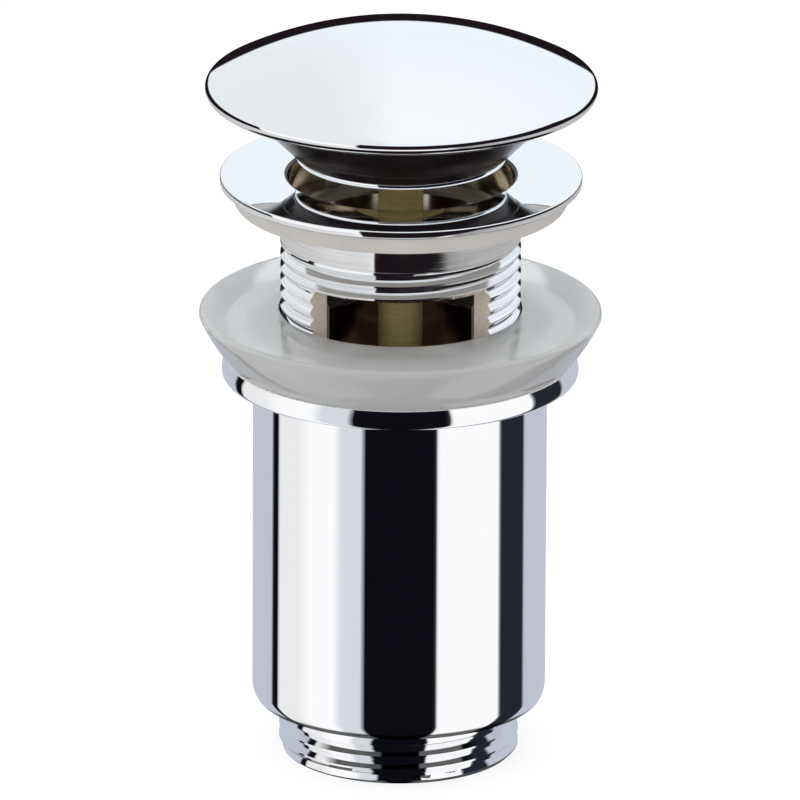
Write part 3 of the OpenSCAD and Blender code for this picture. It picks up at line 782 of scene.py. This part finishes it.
class WASTE_OT_flange_tail(bpy.types.Operator):
    """Chromed flange and slotted, threaded tail with the spider inside"""

    bl_idname = "waste.flange_tail"
    bl_label = "Flange and tail"

    def execute(self, context):
        size = context.scene.waste_flange
        body = context.scene.waste_body
        under = FLANGE_TOP - size.flange_edge
        thread_top = under - size.plain_h
        mouth_floor = FLANGE_TOP - size.mouth_depth
        corner = size.flange_corner
        edge = FLANGE_R - corner
        outline = [(body.thread_r, level) for level in (thread_top, thread_top + THREAD_GUARD, under)]
        outline += outline_arc((edge, under + corner), corner, -90, 0)
        outline += outline_arc((edge, FLANGE_TOP - corner), corner, 0, 90)
        mouth_centre = (size.mouth_r + size.mouth_edge, FLANGE_TOP - size.mouth_edge)
        outline += outline_arc(mouth_centre, size.mouth_edge, 90, 180)
        outline += [
            (size.mouth_r, mouth_floor),
            (size.tail_bore, mouth_floor - size.ledge_drop),
            (size.tail_bore, TAIL_END),
            (body.thread_r - body.chamfer, TAIL_END),
        ]
        mesh = bmesh.new()
        rings = add_lathe(mesh, outline, closed=False)
        add_thread(mesh, rings[-1], rings[0], TAIL_PHASE, LEAD_IN, TAIL_LEAD_OUT)
        piece = make_object("flange_and_tail", mesh)
        cut_or_join(piece, self.spider(size), "UNION")
        cut_or_join(piece, self.slots(size), "DIFFERENCE")
        shade(piece.data)
        self.finish(piece, size)
        return {"FINISHED"}

    def spider(self, size):
        """Hub and arms that carry the cartridge, as one solid."""
        low = TAIL_END + size.spider_step
        high = low + size.spider_h
        inner = (size.hub_bore + size.hub_r) / 2
        reach = size.tail_bore + size.arm_root
        half = size.arm_t / 2
        hub = turned_piece("hub", [
            (size.hub_bore, low),
            (size.hub_r, low),
            (size.hub_r, high),
            (size.hub_bore, high),
        ])
        arms = bmesh.new()
        for arm in range(size.arm_count):
            around = math.tau * (arm + 0.5) / size.arm_count
            add_block(arms, Vector((inner, -half, low)), Vector((reach, half, high)), around)
        cut_or_join(hub, make_object("arms", arms), "UNION")
        return hub

    def slots(self, size):
        """Two round cutters, one for the slot in front and one for the slot behind."""
        high = FLANGE_TOP - size.slot_drop
        low = high - size.slot_h
        outline = rounded([
            (0, low, 0),
            (size.slot_cut, low, size.slot_corner),
            (size.slot_cut, high, size.slot_corner),
            (0, high, 0),
        ])
        mesh = bmesh.new()
        for side in (-1, 1):
            before = set(mesh.verts)
            add_lathe(mesh, outline, closed=False)
            moved = [vert for vert in mesh.verts if vert not in before]
            bmesh.ops.translate(mesh, verts=moved, vec=(0, side * (size.slot_cut + size.slot_reach), 0))
        return make_object("slots", mesh)

    def bore_plate(self, size):
        """Plate in the bore, pale at the mouth, with painted shade darkening it further down."""
        material = turned_metal("thin_plated_bore")
        tree = material.node_tree
        base = tree.nodes["Principled BSDF"].inputs["Base Color"]
        plated = base.links[0].from_socket
        slot_top = FLANGE_TOP - size.slot_drop
        _, _, height = axes(tree, "Object")
        # Painted shade: the bore's colour goes dark below the slots' top
        mask = ranged(tree, height, slot_top, slot_top + size.bore_shade_fade)
        tree.links.new(mixed_colour(tree, mask, bpy.context.scene.waste_finishes.bore_shade, plated), base)
        return material

    def finish(self, piece, size):
        """Chrome outside, thin plate in the bore, and bare metal on the cut faces."""
        finishes = [polished_chrome(), turned_metal("turned_chrome"), self.bore_plate(size)]
        finishes += [turned_metal("cut_brass"), turned_metal("dull_inside")]
        dress(piece, "flange", "chromed_brass", "flange_tail", *finishes)
        _, tail, bore, cut, painted_dark = range(len(finishes))
        high = FLANGE_TOP - size.slot_drop + NEAR
        low = high - size.slot_h - 2 * NEAR
        for face, reach, inward in placed_faces(piece):
            x, y, z = face.center
            from_slot = math.hypot(x, abs(y) - size.slot_cut - size.slot_reach)
            upright = abs(face.normal.z) < UPRIGHT
            if upright and low < z < high and from_slot < size.slot_cut + NEAR:
                face.material_index = cut
            # Painted shade on the mouth's rounded edge: dark metal that hides the bright line its chrome
            # would mirror
            elif inward and size.mouth_r + NEAR < reach < size.mouth_r + size.mouth_edge and z > high:
                face.material_index = painted_dark
            elif reach < size.tail_bore - NEAR or (inward and reach < size.mouth_r + NEAR):
                face.material_index = bore
            elif z < FLANGE_TOP - size.flange_edge and reach > size.mouth_r - NEAR:
                face.material_index = tail


class WASTE_OT_plug(bpy.types.Operator):
    """Domed cap, black seal cone and bright retainer disc"""

    bl_idname = "waste.plug"
    bl_label = "Plug"

    def execute(self, context):
        size = context.scene.waste_plug
        bore = size.spindle_r + size.fit
        boss_under = SEAL_FOOT + size.boss_drop
        cap = turned_piece("cap_dome", self.cap_outline(size, bore, boss_under))
        dress(cap, "plug", "chromed_brass", "plug_cap", polished_chrome())
        seal = turned_piece("seal_cone", self.seal_outline(size, bore, boss_under))
        dress(seal, "plug", "black_rubber", "plug_seal", moulded("seal_rubber"))
        disc = turned_piece("retainer_disc", rounded([
            (bore, RETAINER_LOW, 0),
            (RETAINER_R, RETAINER_LOW, size.retainer_corner),
            (RETAINER_R, RETAINER_TOP, size.retainer_corner),
            (bore, RETAINER_TOP, 0),
        ]))
        dress(disc, "plug", "chromed_brass", "seal_retainer", polished_chrome())
        return {"FINISHED"}

    def cap_outline(self, size, bore, boss_under):
        """Half section of the cap, from the crown round the rim to the boss."""
        rim_centre = Vector((CAP_R - size.rim_r, SEAL_TOP + size.rim_r))
        crown = CAP_TOP - size.crown_r
        rim_angle = math.degrees(math.atan2(rim_centre.y - crown, rim_centre.x))
        land_r = SEAL_R - size.seal_wall
        inner_r = size.crown_r - size.wall
        hollow = [math.degrees(math.acos(reach / inner_r)) for reach in (land_r, size.boss_r)]
        outline = outline_arc((0, crown), size.crown_r, 90, rim_angle, 5 * ARC_STEPS)
        outline[0] = (0, CAP_TOP)
        outline += outline_arc(rim_centre, size.rim_r, rim_angle, -90, 3 * ARC_STEPS)[1:]
        outline.append((land_r, SEAL_TOP))
        outline += outline_arc((0, crown), inner_r, *hollow, 2 * ARC_STEPS)
        spindle_top = boss_under + size.grip + size.fit
        outline += [(size.boss_r, boss_under), (bore, boss_under), (bore, spindle_top), (0, spindle_top)]
        return outline

    def seal_outline(self, size, bore, boss_under):
        """Half section of the seal, whose side rises at 45 degrees and has two half-round grooves."""
        foot = Vector((size.seal_foot_r, SEAL_FOOT))
        outline = [(bore, boss_under), (bore, SEAL_FOOT)]
        outline += rounded([(bore, SEAL_FOOT, 0), (*foot, size.seal_corner), (SEAL_R, SEAL_TOP, 0)])[1:-1]
        for height in (size.lower_groove, size.upper_groove):
            centre = foot + Vector((height, height))
            outline += outline_arc(centre, size.groove_r, 225, 45)
        land_r = SEAL_R - size.seal_wall
        outline += [(SEAL_R, SEAL_TOP), (land_r, SEAL_TOP)]
        outline.append((size.seal_foot_r + size.seal_disc - size.seal_wall, boss_under))
        return outline


class WASTE_OT_spindle(bpy.types.Operator):
    """Brass spindle with its drum and the zigzag track that turns the index ring"""

    bl_idname = "waste.spindle"
    bl_label = "Spindle"

    def execute(self, context):
        size = context.scene.waste_plug
        low, top, drum_r = span("spindle")
        drum_under = low + size.tip_len
        drum_top = drum_under + PRESS_TRAVEL + 2 * size.track_margin
        chamfer = size.spindle_chamfer
        spindle = turned_piece("brass_spindle", [
            (0, low),
            (size.tip_r - chamfer, low),
            (size.tip_r, low + chamfer),
            (size.tip_r, drum_under),
            (drum_r, drum_under),
            (drum_r, drum_top),
            (size.spindle_r, drum_top),
            (size.spindle_r, top - chamfer),
            (size.spindle_r - chamfer, top),
            (0, top),
        ])
        cut_or_join(spindle, self.track(size, drum_r, drum_under + size.track_margin), "DIFFERENCE")
        shade(spindle.data)
        dress(spindle, "plug", "raw_brass", "spindle", turned_metal("turned_brass"))
        return {"FINISHED"}

    def track(self, size, drum_r, lowest):
        """Cutters along the closed track: a block for each leg and a round one for each knot."""
        floor_r = drum_r - size.track_depth
        depth = size.track_depth + size.fit
        cycle = math.tau / size.track_cycles
        latch = PRESS_TRAVEL - size.latch_back
        heights = (0, PRESS_TRAVEL, latch, PRESS_TRAVEL, 0)
        legs = len(heights) - 1
        knots = [(cycle * index / legs, height) for index, height in enumerate(heights)]
        mesh = bmesh.new()
        for turns in range(size.track_cycles):
            for (angle, height), (next_angle, next_height) in zip(knots, knots[1:]):
                across = (floor_r + size.track_depth / 2) * (next_angle - angle)
                rise = next_height - height
                middle = turns * cycle + (angle + next_angle) / 2
                level = lowest + (height + next_height) / 2
                leg = self.place(middle, floor_r + depth / 2, level)
                leg = leg @ Matrix.Rotation(-math.atan2(across, rise), 4, "X")
                leg = leg @ Matrix.Diagonal((depth, size.track_w, math.hypot(across, rise), 1))
                bmesh.ops.create_cube(mesh, size=1, matrix=leg)
                knot = self.place(turns * cycle + next_angle, floor_r + depth / 2, lowest + next_height)
                bmesh.ops.create_cone(
                    mesh, cap_ends=True, segments=CUTTER_SIDES, radius1=size.track_w / 2,
                    radius2=size.track_w / 2, depth=depth, matrix=knot @ Matrix.Rotation(math.pi / 2, 4, "Y"),
                )
        return make_object("track", mesh)

    def place(self, around, reach, height):
        """Place at an angle round the axis, a distance from it and a height."""
        return Matrix.Rotation(around, 4, "Z") @ Matrix.Translation((reach, 0, height))


class WASTE_OT_spring(bpy.types.Operator):
    """Round wire spring inside the cartridge"""

    bl_idname = "waste.spring"
    bl_label = "Spring"

    def execute(self, context):
        size = context.scene.waste_plug
        mesh = bmesh.new()
        loops = []
        for ring in range(size.coil_turns * COIL_STEPS + 1):
            turns = ring / COIL_STEPS
            around = math.tau * turns
            loop = []
            for side in range(WIRE_SIDES):
                section = math.tau * side / WIRE_SIDES
                reach = size.coil_r + size.wire_r * math.cos(section)
                z = SPRING_LOW + size.wire_r * (1 + math.sin(section)) + self.rise(turns, size)
                loop.append(mesh.verts.new((reach * math.cos(around), reach * math.sin(around), z)))
            loops.append(loop)
        for lower, upper in zip(loops, loops[1:]):
            for side in range(WIRE_SIDES):
                ahead = (side + 1) % WIRE_SIDES
                mesh.faces.new([lower[side], lower[ahead], upper[ahead], upper[side]])
        mesh.faces.new(loops[0])
        mesh.faces.new(loops[-1])
        spring = make_object("coil_spring", mesh)
        dress(spring, "flange", "spring_steel", "spring", turned_metal("drawn_steel"))
        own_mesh(spring)
        return {"FINISHED"}

    def rise(self, turns, size):
        """Height of the wire's centre after a number of turns, with one closed turn at each end."""
        wire = 2 * size.wire_r
        total = SPRING_TOP - SPRING_LOW - wire
        if turns < 1:
            return wire * turns
        if turns > size.coil_turns - 1:
            return total - wire * (size.coil_turns - turns)
        return wire + (total - 2 * wire) * (turns - 1) / (size.coil_turns - 2)


class WASTE_OT_inner_pieces(bpy.types.Operator):
    """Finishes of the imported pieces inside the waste"""

    bl_idname = "waste.inner_pieces"
    bl_label = "Inner pieces"

    def execute(self, context):
        finishes = (
            (turned_metal("turned_brass"), ("cartridge_body", "cartridge_locknut", "end_plug", "plug_nut")),
            (turned_metal("drawn_steel"), ("lock_washer", "gland_circlip", "follower_pins")),
            (moulded("white_acetal"), ("guide_bush", "spacer_sleeve", "index_ring", "thrust_washer")),
            (moulded("seal_rubber"), ("wiper_ring",)),
        )
        for material, nodes in finishes:
            for node in nodes:
                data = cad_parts[node].data
                data.materials.clear()
                data.materials.append(material)
        return {"FINISHED"}


class WASTE_OT_stage(bpy.types.Operator):
    """Camera, pale floor and soft surroundings with dark cards that the chrome reflects"""

    bl_idname = "waste.stage"
    bl_label = "Stage"

    DARK = (0.012, 0.008, 0.011)
    BLACK = (0.004, 0.004, 0.007)
    WHITE = (1.03, 1.03, 1.035)
    IVORY = (0.87, 0.87, 0.875)
    PEARL = (0.70, 0.735, 0.77)
    PALE = (0.54, 0.565, 0.66)
    SLATE = (0.018, 0.020, 0.030)
    # Sky low down, high up and on the left, and the heights and the sides between which it changes
    SKY_LOW = (0.895, 0.955, 1.02)
    SKY_HIGH = (0.975, 1.0, 1.03)
    SKY_LEFT = (0.842, 0.875, 0.90)
    SKY_HEIGHTS = (0.3, 0.9)
    SKY_SIDES = (-0.02, -0.2)
    # Cards round the body: the angle on the body from the camera's side where each starts to show, its tint,
    # and half the angle over which it fades in
    CARDS = (
        (-60, BLACK, 0.8), (-55.5, IVORY, 0.8), (-41, WHITE, 6.0), (-25, PEARL, 2.5),
        (-14.5, BLACK, 0.8), (15, WHITE, 0.8), (43, SLATE, 0.8), (58, PALE, 0.8),
    )
    # Cards behind the body, which the camera's side doesn't mirror, by azimuth on the ring
    BACK_LEFT = ((-180, BLACK, 0.8), (-165, WHITE, 0.8), (-150, PALE, 4.0))
    BACK_RIGHT = ((150, WHITE, 4.0), (163, BLACK, 0.8))
    # Brightness of the cards low down, and the height over which they dim
    CARD_DIM = 0.12
    CARD_FADE = 5 * MM
    # Horizon that the flange and the cap mirror, by azimuth, as the cards are
    HORIZON = ((-180, DARK, 0.8), (-89, WHITE, 0.8), (-26, DARK, 0.8))
    # Grey levels of the ground below the horizon, by azimuth
    GROUND = (
        (-180, 0.50), (-130, 0.62), (-32, 0.80), (-26, 0.90), (30, 0.90), (36, 0.30), (60, 0.46), (80, 0.52),
        (180, 0.50),
    )
    # Lowest and highest elevation of the horizon, in degrees, at the camera's side and elsewhere
    HORIZON_FRONT = (-24, 20)
    HORIZON_REST = (-17, 4)
    # Left end, its fade, right end and its fade of the camera's side, in degrees, for the two limits
    FRONT = ((-25, 1, 36, 14), (-25, 1, 110, 8))
    # Elevation in degrees below which a mirror sees darkness, and softness of the limits as a height
    STEEP = -42
    SOFTNESS = 0.012
    # Half width of the floor, its gap below the body, and the strength and share of its glow to the camera
    FLOOR_HALF = 2.0
    FLOOR_GAP = 0.02 * MM
    FLOOR_GLOW = 1.1
    FLOOR_SHARE = 0.7
    # Strength of the light on dull surfaces from the left and from the right
    LIGHT_LEFT = 1.72
    LIGHT_RIGHT = 1.42

    def execute(self, context):
        scene = context.scene
        scene.view_settings.view_transform = "Standard"
        self.add_camera(scene)
        self.add_floor(scene)
        self.add_card_ring(scene)
        self.add_world(scene)
        return {"FINISHED"}

    def add_camera(self, scene):
        """Long lens at the picture's viewing angle."""
        studio = scene.waste_studio
        data = bpy.data.cameras.new("camera")
        data.lens = studio.lens / MM
        data.sensor_width = studio.sensor / MM
        camera = bpy.data.objects.new("camera", data)
        scene.collection.objects.link(camera)
        back = Vector((0, -math.cos(studio.elevation), math.sin(studio.elevation)))
        distance = studio.view_width * studio.lens / studio.sensor
        spot = Vector((0, 0, studio.aim)) + back * distance
        facing = (-back).to_track_quat("-Z", "Y").to_matrix().to_4x4()
        camera.matrix_world = Matrix.Translation(spot) @ facing @ Matrix.Rotation(studio.roll, 4, "Z")
        data.clip_end = 2 * distance
        scene.camera = camera

    def add_floor(self, scene):
        """Pale floor, white to the camera and clear from below, that keeps the shadow of the object."""
        half = self.FLOOR_HALF
        mesh = bmesh.new()
        corners = []
        for x, y in ((-half, -half), (half, -half), (half, half), (-half, half)):
            corners.append(mesh.verts.new((x, y, BODY_LOW - self.FLOOR_GAP)))
        mesh.faces.new(corners)
        floor = make_object("floor", mesh)
        material, tree, shader = new_material(
            "pale_floor", scene.waste_finishes.floor, Roughness=0.9, Specular_IOR_Level=0.0
        )
        glow = add_node(tree, "ShaderNodeEmission")
        glow.inputs["Strength"].default_value = self.FLOOR_GLOW
        seen = add_node(tree, "ShaderNodeLightPath").outputs["Is Camera Ray"]
        share = arithmetic(tree, "MULTIPLY", seen, self.FLOOR_SHARE)
        pale = mixed_shader(tree, share, shader.outputs[0], glow.outputs[0])
        below = add_node(tree, "ShaderNodeNewGeometry").outputs["Backfacing"]
        clear = add_node(tree, "ShaderNodeBsdfTransparent").outputs[0]
        surface = tree.nodes["Material Output"].inputs["Surface"]
        tree.links.new(mixed_shader(tree, below, pale, clear), surface)
        floor.data.materials.append(material)
        floor.visible_glossy = False
        floor.visible_diffuse = False

    def add_card_ring(self, scene):
        """Ring of black and white cards round the body, which only mirrors show."""
        studio = scene.waste_studio
        mesh = bmesh.new()
        levels = (BODY_LOW - studio.ring_depth, studio.ring_top)
        add_lathe(mesh, [(studio.ring_r, level) for level in levels], closed=False)
        ring = make_object("card_ring", mesh)
        material = bpy.data.materials.new("cards")
        material.use_nodes = True
        tree = material.node_tree
        tree.nodes.clear()
        x, y, z = axes(tree, "Object")
        cards = list(self.BACK_LEFT)
        for angle, tint, fade in self.CARDS:
            cards.append((self.mirrored_at(angle, scene.waste_body.body_r, studio.ring_r), tint, fade))
        cards += self.BACK_RIGHT
        dim = -studio.ring_dim
        glow = add_node(tree, "ShaderNodeEmission")
        tree.links.new(self.ramp(tree, self.around(tree, x, y), self.sharp(cards)), glow.inputs["Color"])
        bright = ranged(tree, z, dim - self.CARD_FADE, dim, self.CARD_DIM, 1.0)
        tree.links.new(bright, glow.inputs["Strength"])
        out = add_node(tree, "ShaderNodeOutputMaterial")
        tree.links.new(glow.outputs[0], out.inputs["Surface"])
        ring.data.materials.append(material)
        ring.visible_camera = False
        ring.visible_diffuse = False
        ring.visible_shadow = False
        ring.visible_transmission = False
        ring.visible_volume_scatter = False

    def mirrored_at(self, degrees, body_r, ring_r):
        """Azimuth on the ring, in degrees, that the body mirrors at an angle from the camera's side."""
        angle = math.radians(degrees)
        across = body_r * math.sin(angle)
        along = body_r * math.cos(angle)
        reach = math.sqrt(ring_r ** 2 - across ** 2) - along
        across += reach * math.sin(2 * angle)
        along += reach * math.cos(2 * angle)
        return math.degrees(math.atan2(across, along))

    def add_world(self, scene):
        """White to the camera, soft light from the left on the object, and a dark horizon in the mirrors."""
        world = bpy.data.worlds.new("studio")
        world.use_nodes = True
        scene.world = world
        tree = world.node_tree
        tree.nodes.clear()
        x, y, z = axes(tree, "Generated")
        rays = add_node(tree, "ShaderNodeLightPath").outputs
        plain = add_node(tree, "ShaderNodeBackground")
        side_light = ranged(tree, x, -1.0, 1.0, self.LIGHT_LEFT, self.LIGHT_RIGHT)
        strength = arithmetic(tree, "MAXIMUM", rays["Is Camera Ray"], side_light)
        tree.links.new(strength, plain.inputs["Strength"])
        mirrored = add_node(tree, "ShaderNodeBackground")
        tree.links.new(self.surroundings(tree, x, y, z), mirrored.inputs["Color"])
        by_mirror = arithmetic(tree, "MULTIPLY", rays["Is Glossy Ray"], rays["Is Reflection Ray"])
        out = add_node(tree, "ShaderNodeOutputWorld")
        seen = mixed_shader(tree, by_mirror, plain.outputs[0], mirrored.outputs[0])
        tree.links.new(seen, out.inputs["Surface"])

    def surroundings(self, tree, x, y, z):
        """Colour that a mirror sees: pale sky, a dark horizon, grey ground, and darkness straight below."""
        around = self.around(tree, x, y)
        horizon = self.ramp(tree, around, self.sharp(self.HORIZON))
        ground = self.ramp(tree, around, [(azimuth, (grey, grey, grey)) for azimuth, grey in self.GROUND])
        limits = []
        for spread, at_front, elsewhere in zip(self.FRONT, self.HORIZON_FRONT, self.HORIZON_REST):
            left, left_fade, right, right_fade = [value / 360 for value in spread]
            left += 0.5
            right += 0.5
            rising = ranged(tree, around, left - left_fade, left + left_fade)
            falling = ranged(tree, around, right - right_fade, right + right_fade, 1.0, 0.0)
            levels = [math.sin(math.radians(angle)) for angle in (elsewhere, at_front)]
            limits.append(ranged(tree, arithmetic(tree, "MULTIPLY", rising, falling), 0.0, 1.0, *levels))
        lowest, highest = limits
        seen = mixed_colour(tree, self.above(tree, z, highest), horizon, self.sky(tree, x, z))
        seen = mixed_colour(tree, self.above(tree, z, lowest), ground, seen)
        steep = math.sin(math.radians(self.STEEP))
        return mixed_colour(tree, self.above(tree, z, steep), self.DARK, seen)

    def above(self, tree, z, limit):
        """Mask that is 1 above a height and 0 below it, with a soft limit."""
        return ranged(tree, arithmetic(tree, "SUBTRACT", z, limit), -self.SOFTNESS, self.SOFTNESS)

    def sky(self, tree, x, z):
        """Faintly blue low down, white high up, and greyer on the left."""
        plain = mixed_colour(tree, ranged(tree, z, *self.SKY_HEIGHTS), self.SKY_LOW, self.SKY_HIGH)
        return mixed_colour(tree, ranged(tree, x, *self.SKY_SIDES), plain, self.SKY_LEFT)

    def around(self, tree, x, y):
        """Azimuth from the camera's side towards the right, as a share of a turn, with 0.5 at that side."""
        angle = arithmetic(tree, "ARCTAN2", x, arithmetic(tree, "MULTIPLY", y, -1.0))
        return arithmetic(tree, "ADD", arithmetic(tree, "DIVIDE", angle, math.tau), 0.5)

    def sharp(self, cards):
        """Stops of a ramp that holds each card's colour until close to the next one's start."""
        stops = [cards[0][:2]]
        for (_, before, _), (start, after, fade) in zip(cards, cards[1:]):
            stops += [(start - fade, before), (start + fade, after)]
        return stops

    def ramp(self, tree, share, stops):
        """Colour ramp over a turn, from stops of azimuth in degrees and colour."""
        made = add_node(tree, "ShaderNodeValToRGB")
        tree.links.new(share, made.inputs["Fac"])
        elements = made.color_ramp.elements
        elements.remove(elements[1])
        elements[0].position = 0.0
        elements[0].color = (*stops[0][1], 1)
        for azimuth, tint in stops[1:]:
            elements.new((azimuth + 180) / 360).color = (*tint, 1)
        return made.outputs["Color"]


class WASTE_PT_panel(bpy.types.Panel):
    """Lists the pieces of the waste and their sizes"""

    bl_idname = "WASTE_PT_panel"
    bl_label = "Pop up basin waste"
    bl_space_type = "VIEW_3D"
    bl_region_type = "UI"
    bl_category = "Waste"

    def draw(self, context):
        for operator in OPERATORS:
            self.layout.operator(operator.bl_idname)
        for name in SETTINGS:
            group = getattr(context.scene, name)
            box = self.layout.box()
            for prop in group.__annotations__:
                box.prop(group, prop)


SETTINGS = {
    "waste_body": WasteBodySizes,
    "waste_flange": WasteFlangeSizes,
    "waste_plug": WastePlugSizes,
    "waste_finishes": WasteFinishes,
    "waste_studio": WasteStudio,
}
OPERATORS = (
    WASTE_OT_stage,
    WASTE_OT_lower_body,
    WASTE_OT_gaskets,
    WASTE_OT_flange_tail,
    WASTE_OT_plug,
    WASTE_OT_spindle,
    WASTE_OT_spring,
    WASTE_OT_inner_pieces,
)


def register():
    """Registers the settings, the operators and the panel."""
    for name, group in SETTINGS.items():
        bpy.utils.register_class(group)
        setattr(bpy.types.Scene, name, bpy.props.PointerProperty(type=group))
    for cls in (*OPERATORS, WASTE_PT_panel):
        bpy.utils.register_class(cls)


def unregister():
    """Removes what register added."""
    for cls in (WASTE_PT_panel, *reversed(OPERATORS)):
        bpy.utils.unregister_class(cls)
    for name, group in SETTINGS.items():
        delattr(bpy.types.Scene, name)
        bpy.utils.unregister_class(group)


def main():
    """Builds the stage and every piece."""
    register()
    bpy.ops.waste.stage()
    bpy.ops.waste.lower_body()
    bpy.ops.waste.gaskets()
    bpy.ops.waste.flange_tail()
    bpy.ops.waste.plug()
    bpy.ops.waste.spindle()
    bpy.ops.waste.spring()
    bpy.ops.waste.inner_pieces()


if __name__ == "__main__":
    main()
